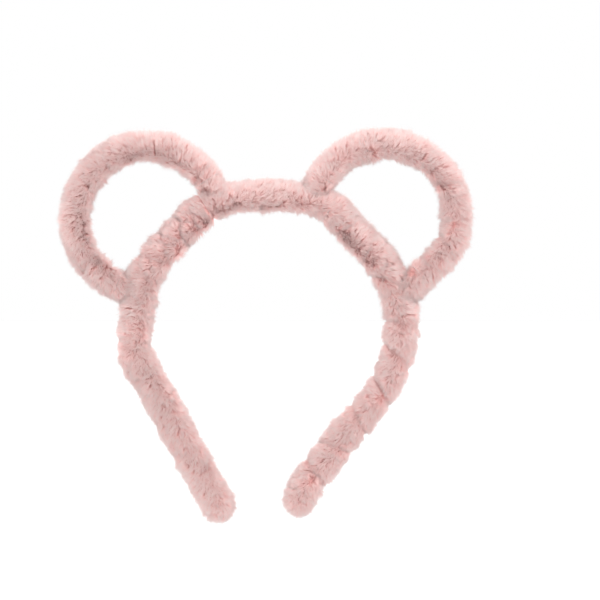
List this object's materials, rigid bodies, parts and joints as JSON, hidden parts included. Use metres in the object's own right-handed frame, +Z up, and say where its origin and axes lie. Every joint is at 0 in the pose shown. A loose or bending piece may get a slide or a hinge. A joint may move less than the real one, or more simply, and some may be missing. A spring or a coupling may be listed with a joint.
{
  "type": "animal ears headband",
  "caption": "Fluffy plush headband with two open ring-shaped animal ears on bent wire, a sprung steel band inside, soft foam padding and rounded closed tips.",
  "frame": {"origin": "the point of the crown's inner face that rests on the head, at the middle of the band", "axes": "+Z up as worn, +X to the right seen from the front, looking along +Y"},
  "size_m": [0.207, 0.019, 0.197],
  "materials": {
    "plush": "long soft plush pile",
    "foam": "open-cell foam",
    "spring_steel": "rolled strip",
    "wire_steel": "drawn wire",
    "shrink_tubing": "satin",
    "cap_rubber": "matte",
    "thread": "twisted sewing thread"
  },
  "bodies": {
    "crown": {"spring_band": "spring_steel", "left_ear_wire": "wire_steel", "right_ear_wire": "wire_steel", "left_upper_binding": "shrink_tubing", "left_lower_binding": "shrink_tubing", "right_upper_binding": "shrink_tubing", "right_lower_binding": "shrink_tubing", "crown_foam": "foam", "left_ear_foam": "foam", "right_ear_foam": "foam", "crown_sleeve": "plush", "left_slope_sleeve": "plush", "right_slope_sleeve": "plush", "left_ear_sleeve": "plush", "right_ear_sleeve": "plush", "right_ear_root_sleeve": "plush", "left_crown_seam": "thread", "right_crown_seam": "thread", "left_ear_upper_seam": "thread", "left_ear_lower_seam": "thread", "right_ear_upper_seam": "thread", "right_ear_lower_seam": "thread", "right_ear_mid_seam": "thread"},
    "left_leg": {"left_leg_foam": "foam", "left_leg_sleeve": "plush", "left_tip_cap": "cap_rubber", "left_tip_gather": "thread"},
    "right_leg": {"right_leg_foam": "foam", "right_leg_sleeve": "plush", "right_tip_cap": "cap_rubber", "right_tip_gather": "thread"}
  },
  "joints": [
    {"name": "left_leg_flex", "type": "hinge", "parent": "crown", "child": "left_leg", "pos_m": [-0.06471, 0, -0.04758], "axis": [0, 1, 0], "range_deg": [-5, 25], "stiffness_Nm_per_rad": 0.36, "deforming": ["spring_band"]},
    {"name": "right_leg_flex", "type": "hinge", "parent": "crown", "child": "right_leg", "pos_m": [0.067, 0, -0.0507], "axis": [0, -1, 0], "range_deg": [-5, 25], "stiffness_Nm_per_rad": 0.36, "deforming": ["spring_band"]}
  ]
}
